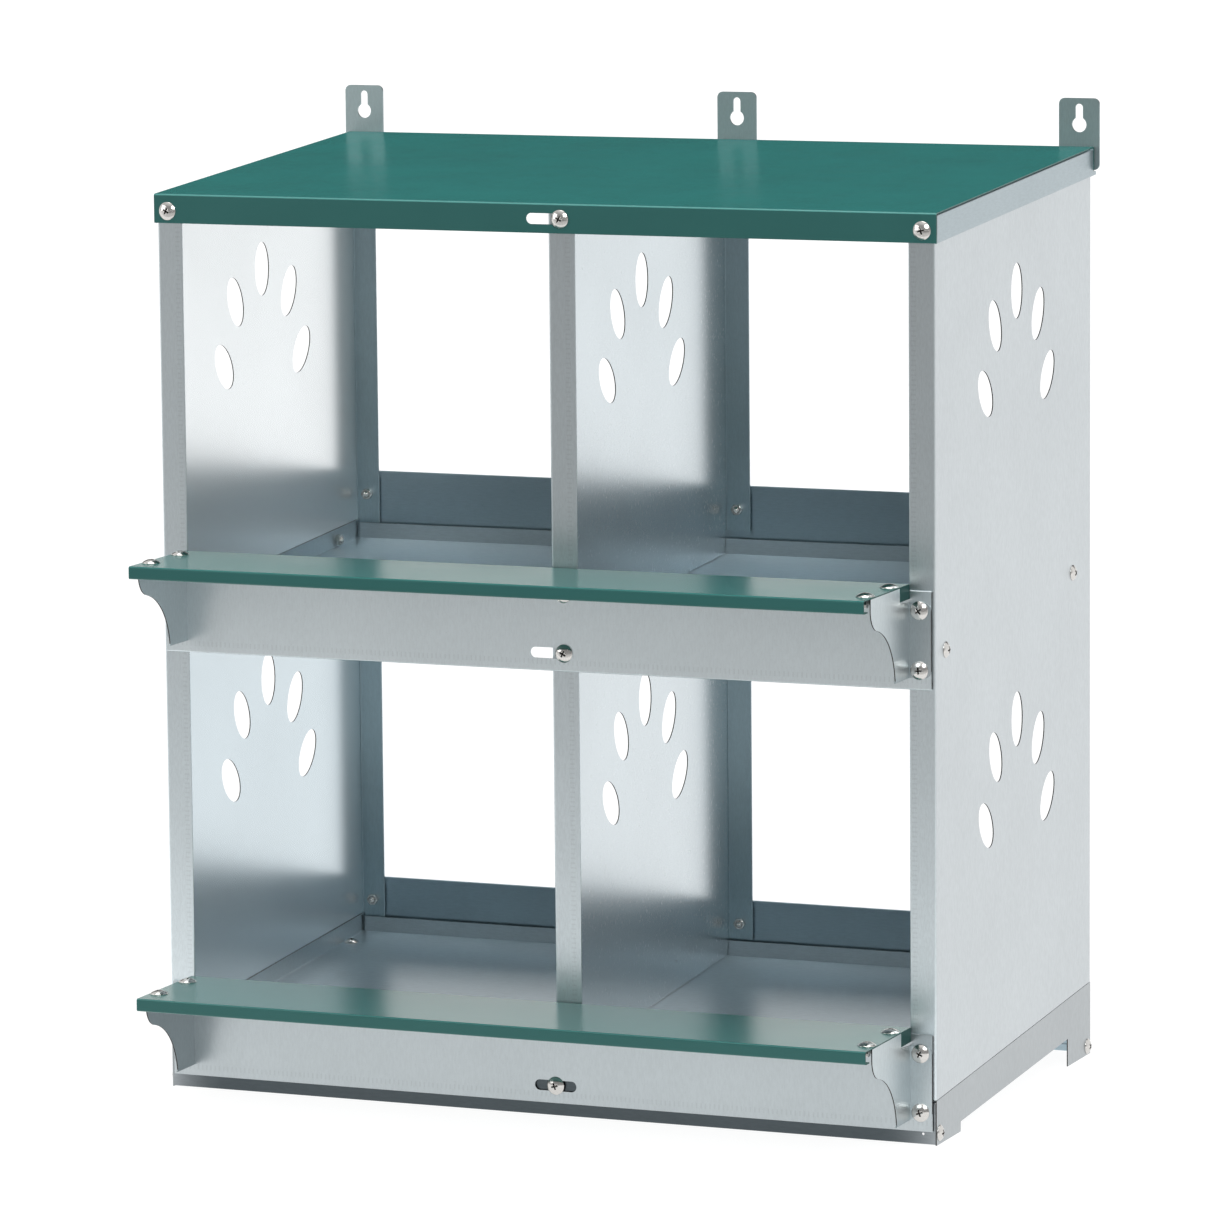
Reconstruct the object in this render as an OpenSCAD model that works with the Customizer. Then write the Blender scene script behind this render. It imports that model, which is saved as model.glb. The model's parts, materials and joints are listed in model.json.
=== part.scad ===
// Wall-hung or free-standing nesting box for hens: four nests, two over two, made of folded sheet.
// Origin: centre of the footprint, on the ground. +X points to the right for someone facing the
// front, +Y points to the back and +Z points up.

/* [Body] */
// Width over the two side panels
body_w = 610; // [580:5:640]
// Depth over the two side panels
body_d = 350; // [340:5:380]
// Thickness of every folded sheet
sheet = 0.8; // [0.6:0.1:0.9]
// Height of the roof's top surface at the front
roof_front_z = 673.2; // [670:0.2:680]
// How far the roof climbs from front to back
roof_rise = 21.5; // [18:0.5:24]
// How far each floor climbs from front to back
floor_rise = 22.8; // [18:0.2:23]
// Width of the flanges of the side panels and dividers
flange_w = 20; // [19:0.5:22]

/* [Dividers] */
// Left face of both dividers at rest, right of the middle
divider_x = 8.3; // [0:0.1:9]
// Length of the slots that let a divider slide sideways
slot_len = 33; // [30:1:40]
// Height of those slots
slot_h = 8; // [7:0.5:8]
// Middle of the slots, right of the middle of the box
slot_x = 8.5; // [4:0.5:10]

/* [Rails and perches] */
// Height of the front rails
rail_h = 71.6; // [70:0.2:74]
// Bottom edge of the lower front rail
lower_rail_z = 9.9; // [9.4:0.1:11]
// Height from the lower front rail to the middle one
rail_pitch = 321.8; // [321:0.2:323]
// How far the perches reach in front of the box
perch_reach = 97; // [92:1:102]
// Height of a perch's top surface above its rail's bottom edge
perch_rise = 76.3; // [75:0.1:78]

/* [Paw openings] */
// Long half axis of each opening
toe_a = 20.6; // [16:0.2:21]
// Short half axis of each opening
toe_b = 12.6; // [8:0.2:13]

/* [Hanging tabs] */
// Width of a tab
tab_w = 32; // [28:1:34]
// Height of a tab
tab_h = 54; // [53:0.5:54.5]
// Radius of the keyhole's round hole
key_r = 5.75; // [5:0.05:6]
// Half width of the keyhole's slot
key_slot_r = 3; // [2.5:0.1:3]

/* [Hidden] */

zinc = "#b3bbbd";
zinc_dark = "#8f999c";
green = "#2c6f68";
nickel = "#d5d2cc";

half_w = body_w / 2;
hem_gap = 0.2;
layer = sheet + hem_gap;            // from one layer of a hem to the next
hem_w = 3.8;
hem_r = layer / 2 - 0.05;
bend_r = 1.2;
bend_steps = 5;
slide_gap = 0.3;                    // room between a divider and what it slides on

// Screws: M5 with a wide truss head, and their nuts
shank_r = 2.5;
hole_r = 2.7;
head_r = 6.8;
side_head_r = 6;
head_h = 3;
recess_w = 1.1;
recess_len = 5.6;
recess_depth = 1.7;
nut_r = 8 / sqrt(3);
nut_h = 4;
nut_hole_r = 2.55;

// Depths: the front faces of the side panels are at 0 in the box's own depth axis
plate_back = -layer;                // back face of the front rails' plates
plate_front = plate_back - sheet;
rear_plate = body_d + layer;        // front face of the back rails' plates
rear_face = rear_plate + sheet;
tab_t = 1.5;
perch_front = -perch_reach;
rear_most = rear_face + slide_gap + tab_t + head_h;
front_y = -(rear_most + perch_front) / 2;

// Heights
roof_slope = roof_rise / body_d;
roof_angle = atan(roof_slope);
floor_slope = floor_rise / body_d;
floor_angle = atan(floor_slope);
seam_z = 33.2;
seam_gap = 0.4;
upper_floor_z = 351.2;
lower_floor_z = seam_z + 2 * sheet + 0.05;
floor_lip = 12;
floor_inset = 2.6;
lip_h = 21.7;                       // height of the roof's front lip
rear_lip_h = 18.2;
roof_overhang = 1.8;
trim_h = 22;
trim_tail = 6.5;                    // how far the trims' low edge runs on behind the panels
mid_rail_z = lower_rail_z + rail_pitch;
rail_half = half_w - 2.5;
slot_low = 13.2;                    // slots above the bottom edge of a rail
slot_high = 57;
back_rail_h = 75.5;
upper_back_z = 351.5;
lower_back_z = 26;
roof_slot_z = 662;
rear_slot_z = 684;
post_x = half_w - flange_w / 2;     // middle of a side panel's flanges
screw_x = divider_x + flange_w / 2 + 0.2;

// Paw openings: place across the depth from the paw's middle, height and lean of each
paw_y = 178.5;
upper_paw_z = 601.7;
paw_pitch = 317;
toes = [[0, 0, 90], [-48, -21.2, 117], [48, -21.2, 63], [-69.5, -68.6, 131], [69.5, -68.6, 49]];
toe_steps = 32;

// Brackets: the ogee is a cove and a bulge that meet without a corner
bracket_x = half_w - 19;            // outer face of a bracket's web
bracket_low = 8.6;
bracket_high = 62.8;
bracket_screw_x = half_w - 11.5;
bracket_holes = [14.2, 57.3];
cove_r = 48;
cove_centre = [-79, 4.5];
bulge_r = 16;
join_angle = 78.5;
bulge_centre = cove_centre + (cove_r + bulge_r) * [cos(join_angle), sin(join_angle)];
bracket_top = perch_rise - sheet;
notch_y = -22;
notch_z = 64.5;
perch_screw_x = half_w - 26;
perch_screw_y = [-74, -25];

// Base
foot_front = 52;
foot_rear = 54;
cut_out_z = 4.4;
cut_out_slope = 20 / 350;
base_clear = 0.5;
base_tab_x = half_w - sheet - 0.1;
base_tab_len = 22;
base_tab_h = 30;
base_front_top = 31.6;
base_rear_top = 51.5;
base_screw_front = [7, 8.2];
base_screw_rear = [body_d - 7, 6.6];
base_floor_y = [40, 310];
side_floor_y = [22, 307.5];
side_floor_rise = 5.5;              // height of those screws above the floor
ledge_w = 15;

// ---- Heights that change with depth

function roof_z(y) = roof_front_z + roof_slope * y;
function seam(y) = seam_z + floor_slope * y;
function on_floor(z, y) = z + floor_slope * y;

// ---- Folded sheet: a path of [x, y, bend radius] becomes a ribbon of one thickness

function unit(v) = v / norm(v);
function left_of(v) = [-v[1], v[0]];
function flat(lists) = [for (list = lists) for (item = list) item];
function xy(p) = [p[0], p[1]];

function bend(a, b, c, r) =
    let (
        u = unit(a - b),
        v = unit(c - b),
        half = acos(max(-1, min(1, u * v))) / 2,
        centre = b + unit(u + v) * r / sin(half),
        start = b + u * r / tan(half) - centre,
        first = atan2(start[1], start[0]),
        sweep = (cross(b - a, c - b) > 0 ? 1 : -1) * (180 - 2 * half)
    )
    [for (k = [0 : bend_steps]) centre + r * [cos(first + sweep * k / bend_steps), sin(first + sweep * k / bend_steps)]];

function folded(path) = flat([
    for (i = [0 : len(path) - 1])
        i == 0 || i == len(path) - 1
            ? [xy(path[i])]
            : bend(xy(path[i - 1]), xy(path[i]), xy(path[i + 1]), path[i][2])
]);

function path_normal(p, i) =
    let (
        last = len(p) - 1,
        before = left_of(unit(i == 0 ? p[1] - p[0] : p[i] - p[i - 1])),
        after = left_of(unit(i == last ? p[last] - p[last - 1] : p[i + 1] - p[i])),
        middle = unit(before + after)
    )
    middle / (middle * before);

function ribbon(p) = concat(
    [for (i = [0 : len(p) - 1]) p[i] + path_normal(p, i) * sheet / 2],
    [for (i = [len(p) - 1 : -1 : 0]) p[i] - path_normal(p, i) * sheet / 2]
);

module sheet_2d(path) {
    polygon(ribbon(folded(path)));
}

// ---- Placing and extruding

// From the box's own depth axis to the row's origin
module placed() {
    translate([0, front_y, 0]) children();
}

// A shape drawn in depth and height, run across the width from x0 to x1
module across(x0, x1) {
    translate([x0, 0, 0]) rotate([90, 0, 90]) linear_extrude(x1 - x0) children();
}

// A shape drawn in width and height, run along the depth from y0 to y1
module along(y0, y1) {
    translate([0, y1, 0]) rotate([90, 0, 0]) linear_extrude(y1 - y0) children();
}

// A shape drawn in width and depth, run up from z0 to z1
module up(z0, z1) {
    translate([0, 0, z0]) linear_extrude(z1 - z0) children();
}

module both_sides() {
    children();
    mirror([1, 0, 0]) children();
}

module one_side(side) {
    if (side > 0) children();
    else mirror([1, 0, 0]) children();
}

// A drill along the depth, across the width, or up
module drill_y(x, z, y0, y1, r = hole_r) {
    translate([x, y1, z]) rotate([90, 0, 0]) cylinder(r = r, h = y1 - y0, $fn = 32);
}

module drill_x(y, z, x0, x1, r = hole_r) {
    translate([x0, y, z]) rotate([0, 90, 0]) cylinder(r = r, h = x1 - x0, $fn = 32);
}

// One slot for a divider's screw, cut along the depth
module slot_y(z, y0, y1) {
    run = slot_len / 2 - slot_h / 2;
    for (end = [-run, run]) drill_y(slot_x + end, z, y0, y1, slot_h / 2);
    translate([slot_x - run, y0, z - slot_h / 2]) cube([2 * run, y1 - y0, slot_h]);
}

// ---- Screws and nuts: each points its head along +Z from the origin

module truss_screw(len, r = head_r) {
    dome_r = (r * r + head_h * head_h) / (2 * head_h);
    difference() {
        union() {
            intersection() {
                translate([0, 0, head_h - dome_r]) sphere(r = dome_r, $fn = 48);
                cylinder(r = r, h = head_h, $fn = 48);
            }
            translate([0, 0, -len]) cylinder(r = shank_r, h = len + 0.5, $fn = 32);
        }
        for (turn = [0, 90]) rotate([0, 0, turn + 20])
            translate([-recess_len / 2, -recess_w / 2, head_h - recess_depth])
                cube([recess_len, recess_w, head_h]);
    }
}

module hex_nut() {
    difference() {
        cylinder(r = nut_r, h = nut_h, $fn = 6);
        translate([0, 0, -1]) cylinder(r = nut_hole_r, h = nut_h + 2, $fn = 32);
    }
}

// Turns a fastener so that its head faces the front, the back or one side
module facing_front(p) {
    translate(p) rotate([90, 0, 0]) children();
}

module facing_back(p) {
    translate(p) rotate([-90, 0, 0]) children();
}

module facing_side(p, side) {
    translate([side * p[0], p[1], p[2]]) rotate([0, side * 90, 0]) children();
}

// ---- Side panels

function toe_outline(place, z) = [
    for (k = [0 : toe_steps - 1])
        let (
            turn = 360 * k / toe_steps,
            long = toe_a * cos(turn),
            short = toe_b * sin(turn),
            lean = place[2]
        )
        [
            paw_y + place[0] + long * cos(lean) - short * sin(lean),
            z + place[1] + long * sin(lean) + short * cos(lean)
        ]
];

// The ten openings of one wall, cut across the width
module paws(x0, x1) {
    for (z = [upper_paw_z, upper_paw_z - paw_pitch])
        for (place = toes)
            across(x0, x1) polygon(toe_outline(place, z));
}

module side_panel_body() {
    edge = half_w - flange_w + sheet / 2;
    web = half_w - sheet / 2;
    front = sheet / 2;
    rear = body_d - sheet / 2;
    outline = [
        [-1, seam(-1)], [body_d + 1, seam(body_d + 1)],
        [body_d + 1, roof_z(body_d + 1) - 2.2 * sheet], [-1, roof_z(-1) - 2.2 * sheet]
    ];
    ledge = [
        [3, seam(3)], [body_d - 3, seam(body_d - 3)],
        [body_d - 3, seam(body_d - 3) + sheet], [3, seam(3) + sheet]
    ];
    intersection() {
        up(0, roof_front_z + roof_rise) sheet_2d([
            [edge + hem_w, front + layer], [edge, front + layer, hem_r], [edge, front, hem_r],
            [web, front, bend_r], [web, rear, bend_r],
            [edge, rear, hem_r], [edge, rear - layer, hem_r], [edge + hem_w, rear - layer]
        ]);
        across(half_w - 40, half_w + 1) polygon(outline);
    }
    across(half_w - ledge_w, half_w - sheet / 2) polygon(ledge);
}

module side_panel(side) {
    color(zinc) placed() one_side(side) difference() {
        side_panel_body();
        paws(half_w - 10, half_w + 10);
        for (y = side_floor_y)
            drill_x(y, on_floor(upper_floor_z, y) + side_floor_rise, half_w - 5, half_w + 5);
        for (z = [lower_rail_z + bracket_holes[1], mid_rail_z + bracket_holes[0], mid_rail_z + bracket_holes[1]])
            drill_y(bracket_screw_x, z, -5, 5);
        drill_y(half_w - 9, 660.5, -5, 5);
        for (z = [lower_back_z + slot_high, upper_back_z + slot_low, upper_back_z + slot_high, rear_slot_z])
            drill_y(post_x, z, body_d - 5, body_d + 5);
        floor_drills();
    }
}

module left_side_panel() { side_panel(-1); }
module right_side_panel() { side_panel(1); }

// ---- Dividers: the outline is [depth, height], with notches over the floors' lips

module divider_body(outline) {
    edge = divider_x + flange_w + sheet / 2;
    web = divider_x + sheet / 2;
    front = slide_gap + sheet / 2;
    rear = body_d - slide_gap - sheet / 2;
    intersection() {
        up(0, roof_front_z + roof_rise) sheet_2d([
            [edge - hem_w, front + layer], [edge, front + layer, hem_r], [edge, front, hem_r],
            [web, front, bend_r], [web, rear, bend_r],
            [edge, rear, hem_r], [edge, rear - layer, hem_r], [edge - hem_w, rear - layer]
        ]);
        across(divider_x - 1, divider_x + flange_w + 2) polygon(outline);
    }
}

notch = 4.4;
web_gap = 0.6;

module upper_divider() {
    bottom = upper_floor_z + web_gap;
    color(zinc) placed() difference() {
        divider_body([
            [-1, 372], [notch, 372], [notch, on_floor(bottom, notch)],
            [body_d - notch, on_floor(bottom, body_d - notch)],
            [body_d - notch, 392], [body_d + 1, 392],
            [body_d + 1, roof_z(body_d) - 1.5], [-1, roof_z(-1) - 1.5]
        ]);
        paws(divider_x - 5, divider_x + 5);
        for (z = [mid_rail_z + slot_high, roof_slot_z]) drill_y(screw_x, z, -5, 5);
        for (z = [upper_back_z + slot_high, rear_slot_z]) drill_y(screw_x, z, body_d - 5, body_d + 5);
    }
}

module lower_divider() {
    bottom = lower_floor_z + web_gap;
    top = upper_floor_z - sheet - web_gap;
    tab = 2.3;
    color(zinc) placed() difference() {
        divider_body([
            [-1, 52], [notch, 52], [notch, on_floor(bottom, notch)],
            [body_d - notch, on_floor(bottom, body_d - notch)],
            [body_d - notch, 71], [body_d + 1, 71],
            [body_d + 1, on_floor(top, body_d) + 3], [body_d - tab, on_floor(top, body_d) + 3],
            [body_d - tab, on_floor(top, body_d - tab)], [tab, on_floor(top, tab)],
            [tab, top + 3], [-1, top + 3]
        ]);
        paws(divider_x - 5, divider_x + 5);
        for (z = [lower_rail_z + slot_high, mid_rail_z + slot_low]) drill_y(screw_x, z, -5, 5);
        for (z = [lower_back_z + slot_high, upper_back_z + slot_low])
            drill_y(screw_x, z, body_d - 5, body_d + 5);
    }
}

// ---- Roof: one sheet with a hemmed lip at the front and the back

module roof_panel() {
    front = plate_front + sheet / 2;
    rear = rear_face - sheet / 2;
    front_low = roof_front_z - lip_h + sheet / 2;
    rear_low = roof_z(body_d) - rear_lip_h + sheet / 2;
    lip_hem = hem_w + 1;
    color(green) placed() difference() {
        across(-half_w - roof_overhang, half_w + roof_overhang) sheet_2d([
            [front + layer, front_low + lip_hem], [front + layer, front_low, hem_r],
            [front, front_low, hem_r], [front, roof_z(front) - sheet / 2, bend_r],
            [rear, roof_z(rear) - sheet / 2, bend_r], [rear, rear_low, hem_r],
            [rear - layer, rear_low, hem_r], [rear - layer, rear_low + lip_hem]
        ]);
        slot_y(roof_slot_z, -5, 1);
        slot_y(rear_slot_z, body_d - 1, body_d + 5);
        both_sides() drill_y(half_w - 9, 660.5, -5, 1);
        both_sides() drill_y(post_x, rear_slot_z, body_d - 1, body_d + 5);
    }
}

// ---- Roof trims: an angle whose flange lies under the roof, outside the side panel

module roof_trim(side) {
    outer = half_w + roof_overhang - sheet / 2;
    top = -1.5 * sheet - 0.05;
    low = -trim_h + sheet / 2;
    color(zinc) placed() one_side(side) intersection() {
        translate([0, 0, roof_front_z]) rotate([roof_angle, 0, 0]) along(-5, body_d + 10) sheet_2d([
            [half_w - 14, top], [outer, top, bend_r], [outer, low, hem_r],
            [outer - layer, low, hem_r], [outer - layer, low + hem_w]
        ]);
        union() {
            translate([0, 0.1, 0]) cube([half_w * 2, body_d - 0.2, roof_front_z * 2]);
            translate([half_w + 0.3, 0.1, 0]) cube([20, body_d + trim_tail, roof_z(body_d) - rear_lip_h - 0.5]);
        }
    }
}

module left_roof_trim() { roof_trim(-1); }
module right_roof_trim() { roof_trim(1); }

// ---- Hanging tabs

tab_top = roof_z(body_d) + 36.3;
key_z = tab_top - 20;
key_slot_z = tab_top - 4.2 - key_slot_r;
tab_corner = 4.5;

module hang_tab(x, y) {
    color(zinc) placed() difference() {
        union() {
            translate([x - tab_w / 2, y, tab_top - tab_h + tab_corner])
                cube([tab_w, tab_t, tab_h - 2 * tab_corner]);
            translate([x - tab_w / 2 + tab_corner, y, tab_top - tab_h])
                cube([tab_w - 2 * tab_corner, tab_t, tab_h]);
            for (dx = [tab_corner, tab_w - tab_corner])
                for (dz = [tab_corner, tab_h - tab_corner])
                    drill_y(x - tab_w / 2 + dx, tab_top - dz, y, y + tab_t, tab_corner);
        }
        drill_y(x, key_z, y - 1, y + 3, key_r);
        drill_y(x, key_slot_z, y - 1, y + 3, key_slot_r);
        translate([x - key_slot_r, y - 1, key_z]) cube([2 * key_slot_r, 4, key_slot_z - key_z]);
        drill_y(x, rear_slot_z, y - 1, y + 3);
    }
}

module left_hang_tab() { hang_tab(-post_x, rear_face); }
module centre_hang_tab() { hang_tab(screw_x, rear_face + slide_gap); }
module right_hang_tab() { hang_tab(post_x, rear_face); }

// ---- Rails: flat plates with a hem along both long edges, folded towards the box

module rail_plate(z, h) {
    plate = plate_front + sheet / 2;
    hem = plate + layer;
    across(-rail_half, rail_half) sheet_2d([
        [hem, z + h - hem_w - 1.5], [hem, z + h - sheet / 2, hem_r], [plate, z + h - sheet / 2, hem_r],
        [plate, z + sheet / 2, hem_r], [hem, z + sheet / 2, hem_r], [hem, z + hem_w + 1.5]
    ]);
}

module front_rail(z) {
    color(zinc) placed() difference() {
        rail_plate(z, rail_h);
        for (h = [slot_low, slot_high]) slot_y(z + h, -5, 1);
        both_sides() for (h = bracket_holes) drill_y(bracket_screw_x, z + h, -5, 1);
    }
}

module back_rail(z) {
    color(zinc_dark) placed() difference() {
        translate([0, body_d, 0]) mirror([0, 1, 0]) rail_plate(z, back_rail_h);
        for (h = [slot_low, slot_high]) {
            slot_y(z + h, body_d - 1, body_d + 5);
            both_sides() drill_y(post_x, z + h, body_d - 1, body_d + 5);
        }
    }
}

module mid_front_rail() { front_rail(mid_rail_z); }
module lower_front_rail() { front_rail(lower_rail_z); }
module upper_back_rail() { back_rail(upper_back_z); }
module lower_back_rail() { back_rail(lower_back_z); }

// ---- Floors: shallow trays that climb to the back, with a low lip all round

module floor_tray(z) {
    wall = half_w - 1.5 * sheet;
    run = body_d - 2 * floor_inset;
    difference() {
        union() {
            intersection() {
                translate([0, 0, z]) rotate([floor_angle, 0, 0]) along(-5, body_d + 5) sheet_2d([
                    [-wall, floor_lip + 2], [-wall, -sheet / 2, bend_r],
                    [wall, -sheet / 2, bend_r], [wall, floor_lip + 2]
                ]);
                translate([-half_w, floor_inset, 0]) cube([body_w, run, roof_front_z]);
            }
            for (y = [floor_inset, body_d - floor_inset - sheet])
                translate([-wall + 2, y, on_floor(z, y) - sheet / 2])
                    cube([2 * wall - 4, sheet, floor_lip + sheet / 2]);
        }
        children();
    }
}

// Drills square to the lower floor, through the ledges that carry it
module floor_drills() {
    for (y = base_floor_y)
        on_lower_floor(half_w - 8, y) translate([0, 0, -10]) cylinder(r = hole_r, h = 20, $fn = 32);
}

module on_lower_floor(x, y) {
    translate([x, y, on_floor(lower_floor_z, y)]) rotate([floor_angle, 0, 0]) children();
}

module upper_floor() {
    color(zinc_dark) placed() floor_tray(upper_floor_z)
        both_sides() for (y = side_floor_y)
            drill_x(y, on_floor(upper_floor_z, y) + side_floor_rise, half_w - 5, half_w + 1);
}

module lower_floor() {
    color(zinc_dark) placed() floor_tray(lower_floor_z)
        both_sides() floor_drills();
}

// ---- Perches: a tray turned upside down, closed at the back corners

module perch(rail_z) {
    top = rail_z + perch_rise;
    front = perch_front + sheet / 2;
    back = plate_front - 0.2 - sheet / 2;
    low = top - 9.5 + sheet / 2;
    color(green) placed() difference() {
        union() {
            across(-bracket_x - 0.2, bracket_x + 0.2) sheet_2d([
                [front + 8, low], [front, low, bend_r], [front, top - sheet / 2, bend_r],
                [back, top - sheet / 2, bend_r], [back, top - 10.8]
            ]);
            both_sides() translate([bracket_x - 0.6, notch_y + 0.6, top - 10.8])
                cube([sheet, back - notch_y - 0.6, 10.8 - sheet / 2]);
        }
        both_sides() for (y = perch_screw_y)
            translate([perch_screw_x, y, top - 5]) cylinder(r = hole_r, h = 10, $fn = 32);
    }
}

module upper_perch() { perch(mid_rail_z); }
module lower_perch() { perch(lower_rail_z); }

// ---- Brackets

function arc(centre, r, from, to, steps) = [
    for (k = [0 : steps])
        let (turn = from + (to - from) * k / steps)
        centre + r * [cos(turn), sin(turn)]
];

// The web's outline in depth and height, from its back bottom corner round to the notch
function ogee() = concat(
    [[plate_front - sheet / 2, bracket_low], [cove_centre[0] + cove_r - 1.5, bracket_low]],
    arc(cove_centre, cove_r, asin((bracket_low + 1.5 - cove_centre[1]) / cove_r), join_angle, 14),
    arc(bulge_centre, bulge_r, join_angle + 180 - 6, 180, 9),
    [[bulge_centre[0] - bulge_r, bracket_top], [notch_y, bracket_top],
     [notch_y, notch_z], [plate_front - sheet / 2, bracket_high]]
);

module bracket(rail_z, side) {
    flange_y = plate_front - sheet;
    free_x = half_w - 2.7;
    corner = 5;
    front = bulge_centre[0] - bulge_r;
    color(zinc) placed() one_side(side) translate([0, 0, rail_z]) difference() {
        union() {
            across(bracket_x - sheet, bracket_x) polygon(ogee());
            translate([0, plate_front, 0]) rotate([90, 0, 0]) linear_extrude(sheet) union() {
                translate([bracket_x - sheet, bracket_low])
                    square([free_x - corner - bracket_x + sheet, bracket_high - bracket_low]);
                translate([bracket_x, bracket_low + corner])
                    square([free_x - bracket_x, bracket_high - bracket_low - 2 * corner]);
                for (z = [bracket_low + corner, bracket_high - corner])
                    translate([free_x - corner, z]) circle(r = corner, $fn = 32);
            }
            translate([bracket_x - 14.5, front + 0.6, bracket_top - sheet])
                cube([14.1, -front - 18.6, sheet]);
        }
        for (h = bracket_holes) drill_y(bracket_screw_x, h, flange_y - 5, 0);
        for (y = perch_screw_y)
            translate([perch_screw_x, y, bracket_top - 5]) cylinder(r = hole_r, h = 10, $fn = 32);
        translate([bracket_x - 1.2, notch_y, notch_z]) cube([5, 25, 20]);
    }
}

module upper_left_bracket() { bracket(mid_rail_z, -1); }
module upper_right_bracket() { bracket(mid_rail_z, 1); }
module lower_left_bracket() { bracket(lower_rail_z, -1); }
module lower_right_bracket() { bracket(lower_rail_z, 1); }

// ---- Base: two skirts with feet, tied by a rail at the front and one at the back

module base_skirt(side) {
    web = half_w - sheet / 2;
    top = -seam_gap;
    outline = [
        [-1, 0], [foot_front, 0], [foot_front, cut_out_z + cut_out_slope * foot_front],
        [body_d - foot_rear, cut_out_z + cut_out_slope * (body_d - foot_rear)], [body_d - foot_rear, 0],
        [body_d + 1, 0], [body_d + 1, seam(body_d + 1) + top], [-1, seam(-1) + top]
    ];
    ledge = [
        [3, seam(3) + top - sheet], [body_d - 3, seam(body_d - 3) + top - sheet],
        [body_d - 3, seam(body_d - 3) + top], [3, seam(3) + top]
    ];
    color(zinc) placed() one_side(side) difference() {
        union() {
            intersection() {
                translate([web - sheet / 2, 0, 0]) cube([sheet, body_d, 100]);
                across(half_w - 20, half_w + 1) polygon(outline);
            }
            across(half_w - ledge_w, half_w - sheet / 2) polygon(ledge);
        }
        for (place = [base_screw_front, base_screw_rear])
            drill_x(place[0], place[1], half_w - 3, half_w + 3);
        floor_drills();
    }
}

module left_base_skirt() { base_skirt(-1); }
module right_base_skirt() { base_skirt(1); }

// Drawn as the front rail; the back one is the same turned round
module base_rail_body(top, screw) {
    front = sheet / 2;
    end = base_tab_x - sheet;
    across(-end, end) sheet_2d([
        [14, top - sheet / 2], [front, top - sheet / 2, bend_r],
        [front, base_clear + sheet / 2, hem_r], [front + layer, base_clear + sheet / 2, hem_r],
        [front + layer, base_clear + hem_w + 1.5]
    ]);
    both_sides() difference() {
        translate([end, 0, base_clear]) cube([sheet, base_tab_len, base_tab_h]);
        drill_x(screw[0], screw[1], end - 2, end + 2);
    }
}

module base_front_rail() {
    color(zinc_dark) placed() difference() {
        base_rail_body(base_front_top, base_screw_front);
        both_sides() drill_y(bracket_screw_x, lower_rail_z + bracket_holes[0], -1, 1.2);
        drill_y(slot_x, lower_rail_z + slot_low, -1, 1.2);
        drill_y(half_w - 10.4, base_clear + 7.5, -1, 1.9, 1);
    }
}

module base_rear_rail() {
    turned = [body_d - base_screw_rear[0], base_screw_rear[1]];
    color(zinc_dark) placed() translate([0, body_d, 0]) mirror([0, 1, 0]) difference() {
        base_rail_body(base_rear_top, turned);
        both_sides() drill_y(post_x, lower_back_z + slot_low, -1, 1.2);
    }
}

// ---- Fasteners, one group for each joint

module roof_screws() {
    color(nickel) placed() both_sides()
        facing_front([half_w - 9, plate_front, 660.5]) truss_screw(8);
}

module roof_nuts() {
    color(nickel) placed() both_sides()
        facing_back([half_w - 9, sheet, 660.5]) hex_nut();
}

bracket_rows = [
    lower_rail_z + bracket_holes[0], lower_rail_z + bracket_holes[1],
    mid_rail_z + bracket_holes[0], mid_rail_z + bracket_holes[1]
];

module bracket_screws() {
    color(nickel) placed() both_sides() for (z = bracket_rows)
        facing_front([bracket_screw_x, plate_front - sheet, z]) truss_screw(9);
}

module bracket_nuts() {
    color(nickel) placed() both_sides() for (z = bracket_rows)
        facing_back([bracket_screw_x, sheet, z]) rotate([0, 0, 30]) hex_nut();
}

module perch_screws() {
    color(nickel) placed() both_sides() for (z = [lower_rail_z, mid_rail_z]) for (y = perch_screw_y)
        translate([perch_screw_x, y, z + perch_rise]) truss_screw(8);
}

module perch_nuts() {
    color(nickel) placed() both_sides() for (z = [lower_rail_z, mid_rail_z]) for (y = perch_screw_y)
        translate([perch_screw_x, y, z + bracket_top - sheet - nut_h]) hex_nut();
}

back_rows = [
    lower_back_z + slot_low, lower_back_z + slot_high,
    upper_back_z + slot_low, upper_back_z + slot_high
];

module back_rail_screws() {
    color(nickel) placed() both_sides() for (z = back_rows)
        facing_back([post_x, rear_face, z]) truss_screw(8);
}

module back_rail_nuts() {
    color(nickel) placed() both_sides() for (z = back_rows)
        facing_front([post_x, body_d - sheet, z]) rotate([0, 0, 30]) hex_nut();
}

module upper_floor_screws() {
    color(nickel) placed() for (side = [-1, 1]) for (y = side_floor_y)
        facing_side([half_w, y, on_floor(upper_floor_z, y) + side_floor_rise], side) truss_screw(7, side_head_r);
}

module upper_floor_nuts() {
    color(nickel) placed() for (side = [-1, 1]) for (y = side_floor_y)
        facing_side([half_w - 2 * sheet - nut_h, y, on_floor(upper_floor_z, y) + side_floor_rise], side)
            rotate([0, 0, 0]) hex_nut();
}

module lower_floor_screws() {
    color(nickel) placed() both_sides() for (y = base_floor_y)
        on_lower_floor(half_w - 8, y) truss_screw(8, side_head_r);
}

module lower_floor_nuts() {
    drop = 3 * sheet + seam_gap + nut_h + 0.2;
    color(nickel) placed() both_sides() for (y = base_floor_y)
        on_lower_floor(half_w - 8, y) translate([0, 0, -drop]) hex_nut();
}

module base_screws() {
    color(nickel) placed() for (side = [-1, 1]) for (place = [base_screw_front, base_screw_rear])
        facing_side([half_w, place[0], place[1]], side) truss_screw(7, side_head_r);
}

module base_nuts() {
    color(nickel) placed() for (side = [-1, 1]) for (place = [base_screw_front, base_screw_rear])
        facing_side([base_tab_x - sheet - nut_h, place[0], place[1]], side) hex_nut();
}

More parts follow.
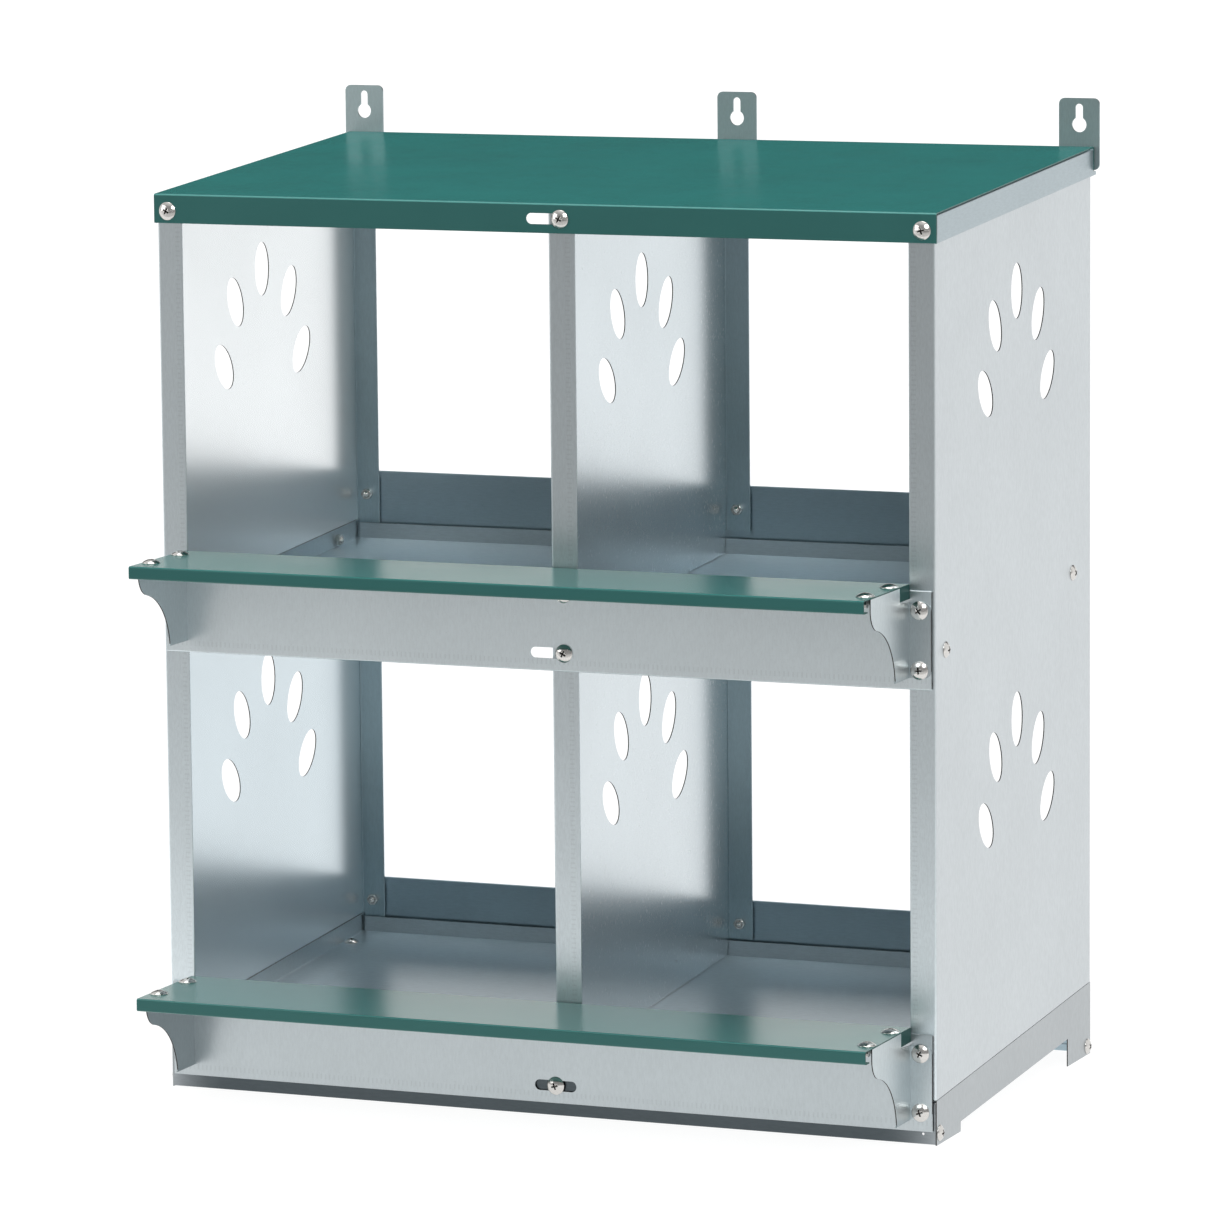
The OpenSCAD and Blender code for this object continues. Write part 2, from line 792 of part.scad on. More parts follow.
module lower_rail_screw() {
    color(nickel) placed() facing_front([slot_x, plate_front, lower_rail_z + slot_low]) truss_screw(8);
}

module lower_rail_nut() {
    color(nickel) placed() facing_back([slot_x, sheet, lower_rail_z + slot_low]) hex_nut();
}

module hang_tab_screws() {
    color(nickel) placed() both_sides()
        facing_back([post_x, rear_face + tab_t, rear_slot_z]) truss_screw(10);
}

module hang_tab_nuts() {
    color(nickel) placed() both_sides()
        facing_front([post_x, body_d - sheet, rear_slot_z]) hex_nut();
}

divider_front = plate_front - slide_gap;
divider_rear = rear_face + slide_gap;

module divider_nut_row(front_rows, rear_rows) {
    for (z = front_rows) facing_back([screw_x, slide_gap + sheet, z]) rotate([0, 0, 30]) hex_nut();
    for (z = rear_rows)
        facing_front([screw_x, body_d - slide_gap - sheet, z]) rotate([0, 0, 30]) hex_nut();
}

module upper_divider_screws() {
    color(nickel) placed() {
        for (z = [mid_rail_z + slot_high, roof_slot_z])
            facing_front([screw_x, divider_front, z]) truss_screw(8);
        facing_back([screw_x, divider_rear, upper_back_z + slot_high]) truss_screw(8);
        facing_back([screw_x, divider_rear + tab_t, rear_slot_z]) truss_screw(10);
    }
}

module upper_divider_nuts() {
    color(nickel) placed() divider_nut_row(
        [mid_rail_z + slot_high, roof_slot_z], [upper_back_z + slot_high, rear_slot_z]);
}

module lower_divider_screws() {
    color(nickel) placed() {
        for (z = [lower_rail_z + slot_high, mid_rail_z + slot_low])
            facing_front([screw_x, divider_front, z]) truss_screw(8);
        for (z = [lower_back_z + slot_high, upper_back_z + slot_low])
            facing_back([screw_x, divider_rear, z]) truss_screw(8);
    }
}

module lower_divider_nuts() {
    color(nickel) placed() divider_nut_row(
        [lower_rail_z + slot_high, mid_rail_z + slot_low],
        [lower_back_z + slot_high, upper_back_z + slot_low]);
}

left_side_panel();
right_side_panel();
upper_divider();
lower_divider();
roof_panel();
left_roof_trim();
right_roof_trim();
left_hang_tab();
centre_hang_tab();
right_hang_tab();
mid_front_rail();
lower_front_rail();
upper_back_rail();
lower_back_rail();
upper_floor();
lower_floor();
upper_perch();
lower_perch();
upper_left_bracket();
upper_right_bracket();
lower_left_bracket();
lower_right_bracket();
left_base_skirt();
right_base_skirt();
base_front_rail();
base_rear_rail();
roof_screws();
roof_nuts();
bracket_screws();
bracket_nuts();
perch_screws();
perch_nuts();
back_rail_screws();
back_rail_nuts();
upper_floor_screws();
upper_floor_nuts();
lower_floor_screws();
lower_floor_nuts();
base_screws();
base_nuts();
lower_rail_screw();
lower_rail_nut();
hang_tab_screws();
hang_tab_nuts();
upper_divider_screws();
upper_divider_nuts();
lower_divider_screws();
lower_divider_nuts();
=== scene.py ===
"""The looks of the nesting box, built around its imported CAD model. Metres, +Z up, front towards -Y."""
import json
import math

import bmesh
import bpy
import numpy as np
from mathutils import Matrix, Vector


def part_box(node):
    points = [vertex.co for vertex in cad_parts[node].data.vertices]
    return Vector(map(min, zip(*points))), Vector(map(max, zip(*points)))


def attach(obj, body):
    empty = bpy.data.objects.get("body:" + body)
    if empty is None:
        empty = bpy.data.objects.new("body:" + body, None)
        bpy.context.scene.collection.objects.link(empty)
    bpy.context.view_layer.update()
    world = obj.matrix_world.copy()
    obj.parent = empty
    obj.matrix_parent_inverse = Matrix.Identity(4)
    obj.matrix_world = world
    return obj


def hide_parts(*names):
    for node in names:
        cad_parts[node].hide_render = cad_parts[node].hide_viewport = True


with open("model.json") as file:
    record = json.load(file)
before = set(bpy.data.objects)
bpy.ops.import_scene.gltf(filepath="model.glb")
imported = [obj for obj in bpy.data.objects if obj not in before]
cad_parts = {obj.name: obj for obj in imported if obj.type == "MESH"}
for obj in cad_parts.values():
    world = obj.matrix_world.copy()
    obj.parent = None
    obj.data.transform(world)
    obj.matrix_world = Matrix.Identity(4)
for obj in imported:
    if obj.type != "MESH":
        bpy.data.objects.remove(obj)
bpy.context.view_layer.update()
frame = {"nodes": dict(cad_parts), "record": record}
nodes = frame["nodes"]
MM = 0.001

# ---------------------------------------------------------------- node helpers


class Graph:
    """Adds nodes to a material's or the world's node tree, and links them."""

    def __init__(self, tree):
        self.tree = tree

    def add(self, kind, **settings):
        node = self.tree.nodes.new(kind)
        for key, value in settings.items():
            setattr(node, key, value)
        return node

    def link(self, source, target):
        self.tree.links.new(source, target)

    def feed(self, sockets, values):
        """Gives each socket its value: a number, a colour of three, or another node's output."""
        for socket, value in zip(sockets, values):
            if isinstance(value, (int, float)):
                socket.default_value = value
            elif isinstance(value, tuple):
                socket.default_value = (*value, 1.0)
            else:
                self.link(value, socket)

    def math(self, operation, a, b=0.0):
        node = self.add("ShaderNodeMath", operation=operation)
        self.feed(node.inputs, (a, b))
        return node.outputs[0]

    def split(self, vector):
        """The outputs X, Y and Z of a vector."""
        node = self.add("ShaderNodeSeparateXYZ")
        self.link(vector, node.inputs[0])
        return node.outputs

    def spread(self, value, low, high, start=0.0, end=1.0, curve="LINEAR"):
        """Maps a value that runs from start to end on to the range low to high."""
        node = self.add("ShaderNodeMapRange", interpolation_type=curve)
        for name, number in (("From Min", start), ("From Max", end), ("To Min", low), ("To Max", high)):
            node.inputs[name].default_value = number
        self.link(value, node.inputs["Value"])
        return node.outputs["Result"]


class Shader(Graph):
    """One new material, with its nodes."""

    def __init__(self, name):
        self.mat = bpy.data.materials.new(name)
        self.mat.use_nodes = True
        super().__init__(self.mat.node_tree)
        self.bsdf = self.tree.nodes["Principled BSDF"]
        self.place = self.add("ShaderNodeTexCoord").outputs["Object"]

    def scaled(self, size):
        """The object's own coordinates, stretched by size along X, Y and Z."""
        mapping = self.add("ShaderNodeMapping")
        mapping.inputs["Scale"].default_value = size
        self.link(self.place, mapping.inputs["Vector"])
        return mapping.outputs["Vector"]

    def noise(self, size, scale, detail=4.0, roughness=0.5):
        node = self.add("ShaderNodeTexNoise")
        node.inputs["Scale"].default_value = scale
        node.inputs["Detail"].default_value = detail
        node.inputs["Roughness"].default_value = roughness
        self.link(self.scaled(size), node.inputs["Vector"])
        return node.outputs["Fac"]

    def ramp(self, value, stops):
        """A colour ramp; stops are (place, grey or colour)."""
        node = self.add("ShaderNodeValToRGB")
        elements = node.color_ramp.elements
        while len(elements) < len(stops):
            elements.new(0.5)
        for element, (place, tone) in zip(elements, stops):
            element.position = place
            colour = (tone,) * 3 if isinstance(tone, (int, float)) else tone
            element.color = (*colour, 1.0)
        self.link(value, node.inputs["Fac"])
        return node.outputs["Color"]

    def mix(self, factor, a, b, blend="MIX"):
        node = self.add("ShaderNodeMix", data_type="RGBA", blend_type=blend)
        self.feed((node.inputs[0], node.inputs[6], node.inputs[7]), (factor, a, b))
        return node.outputs[2]

    def darken(self, mask, colour, dark):
        """The colour, times dark where the mask is 1."""
        return self.mix(mask, colour, self.mix(1.0, colour, (dark,) * 3, "MULTIPLY"))

    def bump(self, height, strength, distance, under=None):
        node = self.add("ShaderNodeBump")
        node.inputs["Strength"].default_value = strength
        node.inputs["Distance"].default_value = distance
        self.link(height, node.inputs["Height"])
        if under is not None:
            self.link(under, node.inputs["Normal"])
        self.link(node.outputs["Normal"], self.bsdf.inputs["Normal"])
        return node.outputs["Normal"]

    def roller_marks(self, across, place, along, reach=1.9 * MM, pitch=3.5 * MM):
        """Short faint marks at |across| = place, one every pitch along the other axis: 0 or 1."""
        here = self.split(self.place)
        off = self.math("ABSOLUTE", self.math("SUBTRACT", self.math("ABSOLUTE", here[across]), place))
        wave = self.math("SINE", self.math("MULTIPLY", here[along], 2 * math.pi / pitch))
        near = self.math("LESS_THAN", off, reach)
        return self.math("MULTIPLY", near, self.math("GREATER_THAN", wave, 0.5))

    def climb(self, axis, low, high, power=1.0):
        """0 where |axis| is below low and 1 above high, with a climb between them."""
        away = self.math("ABSOLUTE", self.split(self.place)[axis])
        return self.math("POWER", self.spread(away, 0.0, 1.0, low, high), power)

    def set(self, **values):
        for key, value in values.items():
            socket = self.bsdf.inputs[key.replace("_", " ")]
            if isinstance(value, (int, float, tuple)):
                socket.default_value = value
            else:
                self.link(value, socket)


EVEN = (1, 1, 1)


def zinc(name, tone, roughness, grain=(1.0, 1.0, 4.0), mottle=0.05, streaks=1.0, specks=0.35,
         ticks=None, dents=0.06, metal=1.0, fade=None):
    """Galvanised sheet: a rolled grain, faint cloudiness, tiny specks, a slow waviness and roller marks.

    grain is how far the grain is drawn out along each axis, and ticks the place of the roller marks.
    fade is a second tone for painted light and shade, its axis, the two distances along it between
    which it takes over, and perhaps the power of that climb.
    """
    s = Shader(name)
    clouds = s.noise(EVEN, scale=9.0, detail=3.0)
    rolled = s.noise(tuple(1.0 / g for g in grain), scale=900.0, detail=2.0)
    grit = s.noise(EVEN, scale=1400.0, detail=1.0)
    if fade is not None:
        tone = s.mix(s.climb(*fade[1:]), tone, fade[0])
    colour = s.mix(1.0, tone, s.ramp(clouds, [(0.3, 1 - mottle), (0.7, 1.0)]), "MULTIPLY")
    colour = s.darken(s.ramp(rolled, [(0.35, 0.0), (0.65, streaks)]), colour, 0.93)
    colour = s.darken(s.ramp(grit, [(0.66, 0.0), (0.74, specks)]), colour, 0.7)
    if ticks is not None:
        colour = s.darken(s.roller_marks(*ticks), colour, 0.93)
    s.set(Base_Color=colour, Metallic=metal,
          Roughness=s.spread(rolled, roughness * (1 - 0.12 * streaks), roughness * (1 + 0.14 * streaks)))
    under = s.bump(s.noise(EVEN, scale=5.0, detail=1.0), strength=0.25, distance=2 * MM)
    s.bump(rolled, strength=dents, distance=0.2 * MM, under=under)
    return s.mat


def paint(name, tone, gloss, shine):
    """Dark green powder coat with a fine orange-peel skin."""
    s = Shader(name)
    clouds = s.noise(EVEN, scale=14.0, detail=3.0)
    fine = s.noise(EVEN, scale=1300.0, detail=2.0)
    colour = s.mix(clouds, tuple(c * 0.92 for c in tone), tuple(c * 1.08 for c in tone))
    colour = s.darken(s.ramp(fine, [(0.4, 0.0), (0.7, 0.3)]), colour, 0.8)
    s.set(Base_Color=colour, Roughness=s.spread(clouds, gloss * 0.85, gloss * 1.2), Specular_IOR_Level=shine)
    under = s.bump(s.noise(EVEN, scale=6.0, detail=1.0), strength=0.2, distance=2 * MM)
    s.bump(s.noise(EVEN, scale=1100.0, detail=2.0), strength=0.12, distance=0.3 * MM, under=under)
    return s.mat


def nickel(name, tone):
    """Bright plated screws with faint handling haze."""
    s = Shader(name)
    haze = s.noise(EVEN, scale=700.0, detail=3.0)
    s.set(Base_Color=s.mix(haze, tuple(c * 0.88 for c in tone), tone), Metallic=1.0,
          Roughness=s.spread(haze, 0.12, 0.24))
    s.bump(haze, strength=0.1, distance=0.1 * MM)
    return s.mat


# ---------------------------------------------------------------- where things are

SHEET = 0.8 * MM
FLANGE, HEM = 20 * MM, 3.8 * MM
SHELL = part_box("right_side_panel")
HALF_W = SHELL[1][0]
FRONT, BACK = SHELL[0][1], SHELL[1][1]
MIDDLE = (FRONT + BACK) / 2

# The lines that the roller marks follow, next to the hems
POST_MARKS = HALF_W - FLANGE + HEM
DIVIDER_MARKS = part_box("upper_divider")[1][0] - 5.8 * MM
RAIL_MARKS_UP = 6.6 * MM
MID_RAIL_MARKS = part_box("mid_front_rail")[0][2] + RAIL_MARKS_UP
LOW_RAIL_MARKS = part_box("lower_front_rail")[0][2] + RAIL_MARKS_UP

# ---------------------------------------------------------------- finishes

# Tones are red, green and blue in linear light, and the number after a tone is a roughness
SIDE_GRAIN, DEEP_GRAIN = (6.0, 1.0, 1.0), (1.0, 6.0, 1.0)
SHELL_TONE = (0.565, 0.605, 0.625)
# Posts and divider flanges turn darker from 0.1 m up to 0.7 m high: painted shade
POST_PAINTED_SHADE = ((0.54, 0.59, 0.61), "Z", 0.1, 0.7)
SMOOTH_WALL = {"streaks": 0.25, "specks": 0.04, "dents": 0.01}

PANEL = zinc("zinc_side_panel", SHELL_TONE, 0.30)
# The base skirts: darker than the side panels above them, painted shade
SKIRT_SHADE = zinc("zinc_base_skirt_painted_shade", (0.42, 0.45, 0.465), 0.30)
TRIM = zinc("zinc_roof_trim", (0.385, 0.455, 0.485), 0.30, DEEP_GRAIN)
# Inside faces of the side walls: a lighter copy of the panel zinc, painted light, darker below 0.32 m and
# lighter above 0.37 m high, painted shade in the lower nest
INNER_LIGHT_AND_SHADE = zinc("zinc_inner_wall_painted_light_and_shade", (0.73, 0.82, 0.865), 0.26, metal=0.78, **SMOOTH_WALL,
             fade=((0.95, 0.985, 1.0), "Z", 0.32, 0.37))
WEB = zinc("zinc_divider_wall", (0.70, 0.76, 0.79), 0.27, metal=0.92, **SMOOTH_WALL)
POST = zinc("zinc_post", (0.79, 0.87, 0.90), 0.34, ticks=("X", POST_MARKS, "Z"), fade=POST_PAINTED_SHADE)
STILE = zinc("zinc_divider_flange", (0.78, 0.855, 0.885), 0.32, ticks=("X", DIVIDER_MARKS, "Z"),
             fade=POST_PAINTED_SHADE)
MID_RAIL = zinc("zinc_middle_rail", (0.81, 0.885, 0.91), 0.32, streaks=0.7,
                ticks=("Z", MID_RAIL_MARKS, "X"))
# The lower front rail: a darker copy of the middle rail's zinc, painted shade
LOW_RAIL_SHADE = zinc("zinc_lower_rail_painted_shade", (0.53, 0.58, 0.60), 0.32, streaks=0.7,
                ticks=("Z", LOW_RAIL_MARKS, "X"))
# Insides of the rear flanges of the walls and dividers: a darker copy of the zinc, painted shade
REAR_SHADE = zinc("zinc_rear_painted_shade", (0.42, 0.54, 0.59), 0.30, dents=0.025)
# The back rails' faces inside the box: darker than their outside, painted shade
REAR_RAIL_SHADE = zinc("zinc_back_rail_painted_shade", (0.41, 0.52, 0.58), 0.30, SIDE_GRAIN)
BRACKET = zinc("zinc_bracket", (0.57, 0.63, 0.65), 0.34)
# The left brackets' own copy of the bracket zinc: dark on the lower bracket below 0.32 m, painted shade, and
# lighter than the right brackets on the upper one above 0.34 m, painted light
BRACKET_LEFT_LIGHT_AND_SHADE = zinc("zinc_bracket_left_painted_light_and_shade", (0.41, 0.46, 0.48), 0.32, mottle=0.12,
                     fade=((0.66, 0.74, 0.77), "Z", 0.32, 0.34))
OUTSIDE = zinc("zinc_outside_back", SHELL_TONE, 0.32)
FLOOR = zinc("zinc_floor", (0.54, 0.62, 0.66), 0.30, SIDE_GRAIN, metal=0.85)
# The base front rail: near black in the middle and lighter towards the ends, from 0.25 m out: painted shade
BASE_SHADE = zinc("zinc_base_rail_painted_shade", (0.09, 0.108, 0.118), 0.32, SIDE_GRAIN,
            fade=((0.36, 0.39, 0.41), "X", 0.25, 0.305, 3.0))
TAB = zinc("zinc_tab", (0.40, 0.49, 0.50), 0.38)
CUT = zinc("sheared_edge", (0.045, 0.04, 0.038), 0.5, mottle=0.2)
GREEN = paint("green_powder_coat", (0.022, 0.163, 0.151), 0.24, 0.06)
# Faces of the roof and perches that point to the front or back, and the roof's ends: a darker copy of the
# green, painted shade
GREEN_LIP_SHADE = paint("green_powder_coat_lips_painted_shade", (0.022, 0.106, 0.098), 0.30, 0.32)
GREEN_PERCH = paint("green_powder_coat_perch", (0.022, 0.145, 0.132), 0.22, 0.36)
LOW_PERCH = paint("green_powder_coat_low_perch", (0.022, 0.145, 0.132), 0.22, 0.72)
# The roof's rounded upper folds: a lighter, shinier copy of the green, painted highlight
GREEN_FOLD_HIGHLIGHT = paint("green_powder_coat_folds_painted_highlight", (0.045, 0.235, 0.215), 0.24, 0.85)
# The perch ends: a near-black copy of the green, painted shade
GREEN_END_SHADE = paint("green_powder_coat_ends_painted_shade", (0.010, 0.050, 0.046), 0.35, 0.05)
BRIGHT = nickel("bright_nickel", (0.70, 0.685, 0.66))
# A dark copy of the nickel for the cross recesses: painted shade
SHADED = nickel("painted_shade_recess", (0.10, 0.095, 0.09))

# ---------------------------------------------------------------- which face gets which finish

# Points nearer than WELD, in metres, are one point. SQUARE_CORNER is in radians, between two faces.
WELD = 1e-6
SQUARE_CORNER = 1.2


def is_cut(face):
    """A face as narrow as the sheet is thick, with a square corner along it, is a sheared edge."""
    width = min(edge.calc_length() for edge in face.edges)
    if abs(width - SHEET) > 0.01 * MM:
        return False
    for edge in face.edges:
        if edge.calc_length() > 2.5 * width and len(edge.link_faces) == 2:
            if edge.link_faces[0].normal.angle(edge.link_faces[1].normal) > SQUARE_CORNER:
                return True
    return False


def dress(node, main, cut=None, choose=None, others=()):
    """Gives a CAD node its finishes: main, one for sheared edges, and others picked face by face."""
    mesh = nodes[node].data
    mesh.materials.clear()
    finishes = [main] + ([cut] if cut else []) + list(others)
    for finish in finishes:
        mesh.materials.append(finish)
    if len(finishes) == 1:
        return
    bm = bmesh.new()
    bm.from_mesh(mesh)
    order = bm.faces.layers.int.new("order")
    for i, face in enumerate(bm.faces):
        face[order] = i
    bmesh.ops.remove_doubles(bm, verts=bm.verts, dist=WELD)
    picks = np.zeros(len(mesh.polygons), dtype=np.int32)
    first = 2 if cut else 1
    for face in bm.faces:
        if cut and is_cut(face):
            picks[face[order]] = 1
        elif choose is not None:
            pick = choose(face.calc_center_median(), face.normal)
            picks[face[order]] = first + pick if pick is not None else 0
    bm.free()
    mesh.polygons.foreach_set("material_index", picks)


def flanges(centre, normal):
    """0 for the front flange of a wall or divider, 1 for the rear one's inside, 2 for its back.

    It is None for the web between the flanges.
    """
    if abs(normal.y) < 0.7:
        return None
    if centre.y < MIDDLE:
        return 0
    return 2 if normal.y > 0 else 1


def wall(centre, normal):
    """As flanges, with 3 for the web's face that points to the left."""
    pick = flanges(centre, normal)
    return 3 if pick is None and normal.x < -0.7 else pick


def rear_face(centre, normal):
    """0 for faces that point to the back."""
    return 0 if normal.y > 0.5 else None


# The insides of the rear flanges take the darker rear zinc: painted shade
# The side walls' inside faces take the lighter inner zinc: painted light, with painted shade low down
dress("left_side_panel", INNER_LIGHT_AND_SHADE, CUT, wall, (POST, REAR_SHADE, OUTSIDE, PANEL))
dress("right_side_panel", PANEL, CUT, wall, (POST, REAR_SHADE, OUTSIDE, INNER_LIGHT_AND_SHADE))
for node in ("upper_divider", "lower_divider"):
    dress(node, WEB, CUT, flanges, (STILE, REAR_SHADE, OUTSIDE))
for node in ("left_roof_trim", "right_roof_trim"):
    dress(node, TRIM)
dress("mid_front_rail", MID_RAIL, CUT)
dress("lower_front_rail", LOW_RAIL_SHADE, CUT)
# All but the back faces of the back rails take the darker zinc: painted shade
for node in ("upper_back_rail", "lower_back_rail", "base_rear_rail"):
    dress(node, REAR_RAIL_SHADE, CUT, rear_face, (OUTSIDE,))
for node in ("upper_floor", "lower_floor"):
    dress(node, FLOOR, CUT)
for node in ("upper_left_bracket", "lower_left_bracket"):
    dress(node, BRACKET_LEFT_LIGHT_AND_SHADE, CUT)
for node in ("upper_right_bracket", "lower_right_bracket"):
    dress(node, BRACKET, CUT)
dress("left_base_skirt", SKIRT_SHADE)
dress("right_base_skirt", SKIRT_SHADE, CUT)
dress("base_front_rail", BASE_SHADE, CUT)
for node in ("left_hang_tab", "centre_hang_tab", "right_hang_tab"):
    dress(node, TAB)


def upright(centre, normal):
    """0 for faces that point to the front or back, 1 for the ends, none for the rest."""
    if abs(normal.x) > 0.8:
        return 1
    return 0 if abs(normal.y) > 0.8 else None


def folded(centre, normal):
    """As upright, with 2 for the rounded upper folds, which take a painted highlight."""
    return 2 if normal.z > 0.25 and abs(normal.y) > 0.2 else upright(centre, normal)


# The roof's faces to the front, back and ends take the darker green: painted shade
dress("roof_panel", GREEN, None, folded, (GREEN_LIP_SHADE, GREEN_LIP_SHADE, GREEN_FOLD_HIGHLIGHT))
# The perches' front and back faces take the darker green and their ends the near-black green: painted shade
dress("upper_perch", GREEN_PERCH, None, upright, (GREEN_LIP_SHADE, GREEN_END_SHADE))
dress("lower_perch", LOW_PERCH, None, upright, (GREEN_LIP_SHADE, GREEN_END_SHADE))

# ---------------------------------------------------------------- screws and nuts

HEAD_H, NUT_H = 3 * MM, 4 * MM
FRONT_HEAD, SIDE_HEAD, SHANK = 6.8 * MM, 6.0 * MM, 2.5 * MM  # radii
NUT_FLATS, NUT_HOLE = 8 * MM, 2.45 * MM
INTO_HEAD = 0.05 * MM
HEAD_STEPS, BARREL_STEPS, BORE_STEPS = 40, 48, 32
CHAMFER_SLOPE = 0.577
FLOOR_RISE, FLOOR_RUN = 22.8, 350
FLOOR_TILT = math.atan(FLOOR_RISE / FLOOR_RUN)
SPINS = [17, 62, 5, 38, 80, 27, 51, 71, 11, 44]  # degrees


def new_mesh(name, points, faces, smooth=True):
    """A mesh of its own, shaded smooth or flat."""
    mesh = bpy.data.meshes.new(name)
    mesh.from_pydata([tuple(p) for p in points], [], faces)
    mesh.validate()
    if smooth:
        mesh.polygons.foreach_set("use_smooth", [True] * len(mesh.polygons))
    return mesh


def turned(profile, steps):
    """A profile of (radius, height) points, turned round Z and closed on the axis at both ends."""
    points, faces = [], []
    turns = [2 * math.pi * k / steps for k in range(steps)]
    for radius, height in profile[1:-1]:
        points += [(radius * math.cos(turn), radius * math.sin(turn), height) for turn in turns]
    for ring in range(len(profile) - 3):
        for k in range(steps):
            a, b = ring * steps + k, ring * steps + (k + 1) % steps
            faces.append((a, b, b + steps, a + steps))
    low, high = len(points), len(points) + 1
    points += [(0, 0, profile[0][1]), (0, 0, profile[-1][1])]
    last = (len(profile) - 3) * steps
    for k in range(steps):
        faces.append((low, (k + 1) % steps, k))
        faces.append((high, last + k, last + (k + 1) % steps))
    return points, faces


def face_outwards(*meshes):
    """Turns every face of closed meshes to the outside, which the booleans need."""
    for mesh in meshes:
        bm = bmesh.new()
        bm.from_mesh(mesh)
        bmesh.ops.recalc_face_normals(bm, faces=bm.faces)
        bm.to_mesh(mesh)
        bm.free()


def cut_with(mesh, tool, operation, name):
    """The result of one exact boolean, as a plain mesh."""
    holder = bpy.data.objects.new(name, mesh)
    knife = bpy.data.objects.new(name + "_tool", tool)
    for thing in (holder, knife):
        bpy.context.scene.collection.objects.link(thing)
    modifier = holder.modifiers.new("cut", "BOOLEAN")
    modifier.object, modifier.operation, modifier.solver = knife, operation, "EXACT"
    bpy.context.view_layer.update()
    result = bpy.data.meshes.new_from_object(holder.evaluated_get(bpy.context.evaluated_depsgraph_get()))
    for thing in (holder, knife):
        bpy.data.objects.remove(thing)
    return result


def cross_arm(name, height, turned_round):
    """One arm of a cross recess: flat bars (half length, half width, height) that get smaller going down."""
    bars = ((2.9 * MM, 0.62 * MM, height + 0.2 * MM), (2.6 * MM, 0.58 * MM, height - 0.4 * MM),
            (0.9 * MM, 0.42 * MM, height - 2.1 * MM))
    points = []
    for long, wide, z in bars:
        corners = ((long, wide), (-long, wide), (-long, -wide), (long, -wide))
        points += [(y, -x, z) if turned_round else (x, y, z) for x, y in corners]
    top, mid, low = ((0, 1, 2, 3), (4, 5, 6, 7), (8, 9, 10, 11))
    faces = [top, tuple(reversed(low))]
    for upper, lower in ((top, mid), (mid, low)):
        faces += [(upper[i], lower[i], lower[(i + 1) % 4], upper[(i + 1) % 4]) for i in range(4)]
    return new_mesh(name, points, faces, False)


def master_head(radius, height):
    """A truss head: thin rim, low dome, and a cross recess whose arms get narrower as they get deeper."""
    rim, bevel, steps = 0.45 * MM, 0.1 * MM, 11
    dome = ((radius - bevel) ** 2 + (height - rim) ** 2) / (2 * (height - rim))
    profile = [(0, 0), (radius - 0.25 * MM, 0), (radius - 0.05 * MM, 0.12 * MM), (radius, 0.3 * MM),
               (radius - bevel, rim)]
    for k in range(1, steps):
        r = (radius - bevel) * math.cos(math.pi / 2 * k / steps)
        profile.append((r, height - dome + math.sqrt(dome * dome - r * r)))
    profile.append((0, height))
    head = new_mesh("head", *turned(profile, HEAD_STEPS))
    arms = [cross_arm("arm_a", height, False), cross_arm("arm_b", height, True)]
    face_outwards(*arms, head)
    head = cut_with(cut_with(head, arms[0], "DIFFERENCE", "cut_a"), arms[1], "DIFFERENCE", "cut_b")
    for face in head.polygons:
        across = math.hypot(face.center.x, face.center.y)
        surface = height - dome + math.sqrt(dome * dome - across * across)
        sunk = across < 3.1 * MM and 0.2 * MM < face.center.z < surface - 0.12 * MM
        # The sunk faces of the recess take the dark nickel: painted shade
        face.material_index = 1 if sunk else 0
    return head


def thread(radius, start, end, pitch=0.8 * MM, depth=0.42 * MM, around=18, rows=5):
    """A shank from z = start down to z = end with a real single-start thread and a chamfered tip.

    around is the points in one ring, and rows the rings in one pitch.
    """
    tip, runout, chamfer = 0.9 * MM, 0.6 * MM, 0.6 * MM
    count = int(round((start - end) / pitch * rows))
    points, faces = [], []
    for row in range(count + 1):
        z = start + (end - start) * row / count
        near_tip = min(1.0, (z - end) / tip)
        near_head = min(1.0, (start - z) / runout)
        for k in range(around):
            wave = ((start - z) / pitch + k / around) % 1.0
            crest = 1 - abs(2 * wave - 1)
            r = radius - depth * (1 - crest) * near_head - (1 - near_tip) * chamfer
            turn = 2 * math.pi * k / around
            points.append((r * math.cos(turn), r * math.sin(turn), z))
    for row in range(count):
        for k in range(around):
            a, b = row * around + k, row * around + (k + 1) % around
            faces.append((a, a + around, b + around, b))
    faces.append(tuple(range(around)))
    faces.append(tuple(reversed(range(count * around, (count + 1) * around))))
    return new_mesh("thread", points, faces)


def master_nut(across_flats, height, hole):
    """A hexagon chamfered on both faces, with a countersunk hole."""
    corner = across_flats / math.sqrt(3)
    hexagon = [(corner * math.cos(math.pi / 3 * k), corner * math.sin(math.pi / 3 * k)) for k in range(6)]
    points = [(x, y, z) for z in (0, height) for x, y in hexagon]
    faces = [tuple(reversed(range(6))), tuple(range(6, 12))]
    faces += [(k, (k + 1) % 6, 6 + (k + 1) % 6, 6 + k) for k in range(6)]
    block = new_mesh("hexagon", points, faces, False)
    flat, wide = across_flats / 2 * 0.96, corner + 0.05 * MM
    rise = (corner - flat) * CHAMFER_SLOPE + 0.02 * MM
    barrel = [(0, 0), (flat, 0), (wide, rise), (wide, height - rise), (flat, height), (0, height)]
    cone = new_mesh("barrel", *turned(barrel, BARREL_STEPS))
    beyond, sunk, mouth = 0.5 * MM, 0.4 * MM, hole + 0.9 * MM
    bore = [(0, -beyond), (mouth, -beyond), (hole, sunk), (hole, height - sunk), (mouth, height + beyond),
            (0, height + beyond)]
    drill = new_mesh("bore", *turned(bore, BORE_STEPS))
    face_outwards(block, cone, drill)
    nut = cut_with(cut_with(block, cone, "INTERSECT", "chamfer"), drill, "DIFFERENCE", "tap")
    nut.polygons.foreach_set("use_smooth", [False] * len(nut.polygons))
    return nut


